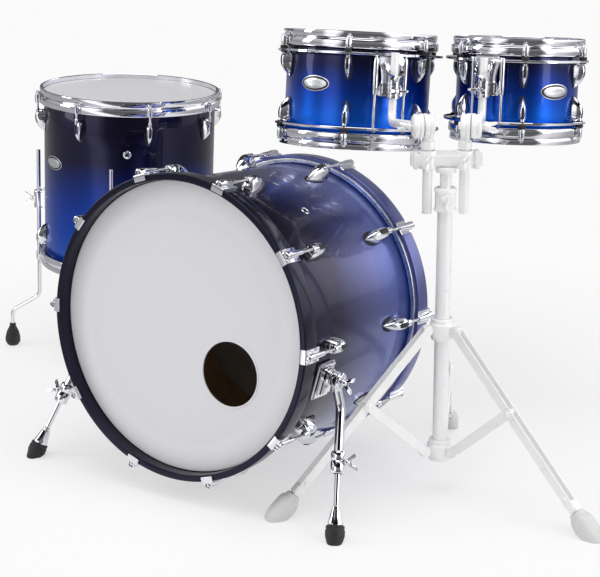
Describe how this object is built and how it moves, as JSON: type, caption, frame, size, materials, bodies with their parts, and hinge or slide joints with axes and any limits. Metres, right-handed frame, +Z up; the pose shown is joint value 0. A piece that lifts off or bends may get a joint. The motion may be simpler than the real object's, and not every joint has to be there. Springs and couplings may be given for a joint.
{
  "type": "drum kit",
  "caption": "Acoustic drum kit: bass drum on folding spurs, floor tom on sliding legs, and two rack toms on a folding double tom stand; lacquered wooden shells with chromed fittings.",
  "frame": {"origin": "on the floor, under the middle of the kit's footprint", "axes": "+Z up; the bass drum's front head faces -Y; the rack toms' stand is on the +X side and the floor tom on the -X side"},
  "size_m": [1.7054, 0.9602, 0.8557],
  "materials": {
    "midnight_lacquer": "gloss lacquer on maple plies, fading from dark aubergine to royal blue",
    "chrome": "polished plating on steel",
    "coated_film": "thin coated polyester film with its aluminium flesh hoop",
    "black_rubber": "matt moulded rubber",
    "satin_silver": "pale satin silver on steel tube and strip",
    "pale_rubber": "pale grey moulded rubber"
  },
  "bodies": {
    "kit": {"bass_drum_shell": "midnight_lacquer", "bass_drum_front_hoop": "midnight_lacquer", "bass_drum_rear_hoop": "midnight_lacquer", "bass_drum_front_head": "coated_film", "bass_drum_batter_head": "coated_film", "right_spur_bracket": "chrome", "left_spur_bracket": "chrome", "floor_tom_shell": "midnight_lacquer", "floor_tom_top_hoop": "chrome", "floor_tom_bottom_hoop": "chrome", "floor_tom_batter_head": "coated_film", "floor_tom_resonant_head": "coated_film", "floor_tom_leg_bracket_1": "chrome", "floor_tom_leg_bracket_2": "chrome", "floor_tom_leg_bracket_3": "chrome", "stand_main_tube": "satin_silver", "stand_lower_collar": "satin_silver"},
    "right_spur_arm": {"right_spur_arm": "chrome"},
    "right_spur_rod": {"right_spur_rod": "chrome", "right_spur_tip": "black_rubber"},
    "right_spur_swivel_wing": {"right_spur_swivel_wing": "chrome"},
    "right_spur_height_wing": {"right_spur_height_wing": "chrome"},
    "left_spur_arm": {"left_spur_arm": "chrome"},
    "left_spur_rod": {"left_spur_rod": "chrome", "left_spur_tip": "black_rubber"},
    "left_spur_swivel_wing": {"left_spur_swivel_wing": "chrome"},
    "left_spur_height_wing": {"left_spur_height_wing": "chrome"},
    "floor_tom_leg_1": {"floor_tom_leg_1": "chrome", "floor_tom_foot_1": "black_rubber"},
    "floor_tom_leg_2": {"floor_tom_leg_2": "chrome", "floor_tom_foot_2": "black_rubber"},
    "floor_tom_leg_3": {"floor_tom_leg_3": "chrome", "floor_tom_foot_3": "black_rubber"},
    "stand_height": {"stand_height_tube": "satin_silver"},
    "left_tom_post": {"left_tom_post": "satin_silver"},
    "left_tom_arm": {"left_tom_arm": "satin_silver"},
    "left_tom": {"left_tom_shell": "midnight_lacquer", "left_tom_top_hoop": "chrome", "left_tom_bottom_hoop": "chrome", "left_tom_batter_head": "coated_film", "left_tom_resonant_head": "coated_film", "left_tom_suspension_mount": "chrome"},
    "right_tom_post": {"right_tom_post": "satin_silver"},
    "right_tom_arm": {"right_tom_arm": "satin_silver"},
    "right_tom": {"right_tom_shell": "midnight_lacquer", "right_tom_top_hoop": "chrome", "right_tom_bottom_hoop": "chrome", "right_tom_batter_head": "coated_film", "right_tom_resonant_head": "coated_film", "right_tom_suspension_mount": "chrome"},
    "stand_leg_collar": {"stand_leg_collar": "satin_silver"},
    "stand_leg_1": {"stand_leg_1": "satin_silver", "stand_foot_1": "pale_rubber"},
    "stand_strut_1": {"stand_strut_1": "satin_silver"},
    "stand_leg_2": {"stand_leg_2": "satin_silver", "stand_foot_2": "pale_rubber"},
    "stand_strut_2": {"stand_strut_2": "satin_silver"},
    "stand_leg_3": {"stand_leg_3": "satin_silver", "stand_foot_3": "pale_rubber"},
    "stand_strut_3": {"stand_strut_3": "satin_silver"}
  },
  "joints": [
    {"name": "right_spur_swivel_wing_turn", "type": "hinge", "parent": "kit", "child": "right_spur_swivel_wing", "pos_m": [0.3882, -0.35857, 0.26771], "axis": [0.9816, -0.018, -0.19], "continuous": true},
    {"name": "right_spur_height_wing_turn", "type": "hinge", "parent": "right_spur_arm", "child": "right_spur_height_wing", "pos_m": [0.41905, -0.39747, 0.12888], "axis": [0.9733, 0.1063, 0.2034], "continuous": true},
    {"name": "right_spur_swing", "type": "hinge", "parent": "kit", "child": "right_spur_arm", "pos_m": [0.34471, -0.35778, 0.27613], "axis": [0.9816, -0.018, -0.19], "range_deg": [0, 26]},
    {"name": "right_spur_extend", "type": "slide", "parent": "right_spur_arm", "child": "right_spur_rod", "axis": [0.2295, -0.4509, -0.8625], "range_m": [-0.02, 0.04]},
    {"name": "left_spur_swivel_wing_turn", "type": "hinge", "parent": "kit", "child": "left_spur_swivel_wing", "pos_m": [-0.24731, -0.35857, 0.26771], "axis": [-0.9816, -0.018, -0.19], "continuous": true},
    {"name": "left_spur_height_wing_turn", "type": "hinge", "parent": "left_spur_arm", "child": "left_spur_height_wing", "pos_m": [-0.27816, -0.39747, 0.12888], "axis": [-0.9733, 0.1063, 0.2034], "continuous": true},
    {"name": "left_spur_swing", "type": "hinge", "parent": "kit", "child": "left_spur_arm", "pos_m": [-0.20382, -0.35778, 0.27613], "axis": [0.9816, 0.018, 0.19], "range_deg": [0, 80]},
    {"name": "left_spur_extend", "type": "slide", "parent": "left_spur_arm", "child": "left_spur_rod", "axis": [-0.2295, -0.4509, -0.8625], "range_m": [-0.02, 0.04]},
    {"name": "floor_tom_leg_1_slide", "type": "slide", "parent": "kit", "child": "floor_tom_leg_1", "axis": [-0.0367, -0.0267, -0.999], "range_m": [-0.05, 0.06]},
    {"name": "floor_tom_leg_2_slide", "type": "slide", "parent": "kit", "child": "floor_tom_leg_2", "axis": [-0.0367, -0.0267, -0.999], "range_m": [-0.05, 0.06]},
    {"name": "floor_tom_leg_3_slide", "type": "slide", "parent": "kit", "child": "floor_tom_leg_3", "axis": [-0.0367, -0.0267, -0.999], "range_m": [-0.05, 0.06]},
    {"name": "stand_height", "type": "slide", "parent": "kit", "child": "stand_height", "axis": [0, 0, 1], "range_m": [0, 0.12]},
    {"name": "left_tom_post_turn", "type": "hinge", "parent": "stand_height", "child": "left_tom_post", "pos_m": [0.46103, -0.18061, 0], "axis": [0, 0, 1], "range_deg": [0, 20]},
    {"name": "left_tom_tilt", "type": "hinge", "parent": "left_tom_post", "child": "left_tom_arm", "pos_m": [0.45327, -0.18693, 0.72398], "axis": [0.7753, 0.6316, 0], "range_deg": [0, 12]},
    {"name": "left_tom_swivel", "type": "hinge", "parent": "left_tom_arm", "child": "left_tom", "pos_m": [0.25922, 0.04178, 0.73477], "axis": [-0.0275, 0.1417, 0.9895], "range_deg": [0, 25]},
    {"name": "right_tom_post_turn", "type": "hinge", "parent": "stand_height", "child": "right_tom_post", "pos_m": [0.51786, -0.14328, 0], "axis": [0, 0, 1], "range_deg": [-40, 0]},
    {"name": "right_tom_tilt", "type": "hinge", "parent": "right_tom_post", "child": "right_tom_arm", "pos_m": [0.52694, -0.13909, 0.72398], "axis": [0.9078, 0.4194, 0], "range_deg": [0, 22]},
    {"name": "right_tom_swivel", "type": "hinge", "parent": "right_tom_arm", "child": "right_tom", "pos_m": [0.40526, 0.14994, 0.73489], "axis": [-0.0334, 0.1027, 0.9942], "range_deg": [-40, 0]},
    {"name": "stand_leg_collar_slide", "type": "slide", "parent": "kit", "child": "stand_leg_collar", "axis": [0, 0, 1], "range_m": [0, 0.1]},
    {"name": "stand_leg_1_fold", "type": "hinge", "parent": "stand_leg_collar", "child": "stand_leg_1", "pos_m": [0.47628, -0.13278, 0.335], "axis": [-0.9114, -0.4115, 0], "range_deg": [0, 36]},
    {"name": "stand_strut_1_fold", "type": "hinge", "parent": "kit", "child": "stand_strut_1", "pos_m": [0.47628, -0.13278, 0.089], "axis": [0.9114, 0.4115, 0], "range_deg": [0, 41]},
    {"name": "stand_leg_2_fold", "type": "hinge", "parent": "stand_leg_collar", "child": "stand_leg_2", "pos_m": [0.47077, -0.18793, 0.335], "axis": [0.8121, -0.5835, 0], "range_deg": [0, 36]},
    {"name": "stand_strut_2_fold", "type": "hinge", "parent": "kit", "child": "stand_strut_2", "pos_m": [0.47077, -0.18793, 0.089], "axis": [-0.8121, 0.5835, 0], "range_deg": [0, 41]},
    {"name": "stand_leg_3_fold", "type": "hinge", "parent": "stand_leg_collar", "child": "stand_leg_3", "pos_m": [0.52129, -0.16512, 0.335], "axis": [0.0993, 0.9951, 0], "range_deg": [0, 36]},
    {"name": "stand_strut_3_fold", "type": "hinge", "parent": "kit", "child": "stand_strut_3", "pos_m": [0.52129, -0.16512, 0.089], "axis": [-0.0993, -0.9951, 0], "range_deg": [0, 41]}
  ],
  "couplings": [
    {"joint": "stand_leg_2_fold", "follows": "stand_leg_1_fold", "ratio": 1},
    {"joint": "stand_leg_3_fold", "follows": "stand_leg_1_fold", "ratio": 1},
    {"joint": "stand_strut_1_fold", "follows": "stand_leg_1_fold", "ratio": 1.12},
    {"joint": "stand_strut_2_fold", "follows": "stand_leg_1_fold", "ratio": 1.12},
    {"joint": "stand_strut_3_fold", "follows": "stand_leg_1_fold", "ratio": 1.12},
    {"joint": "stand_leg_collar_slide", "follows": "stand_leg_1_fold", "m_per_rad": 0.159}
  ]
}
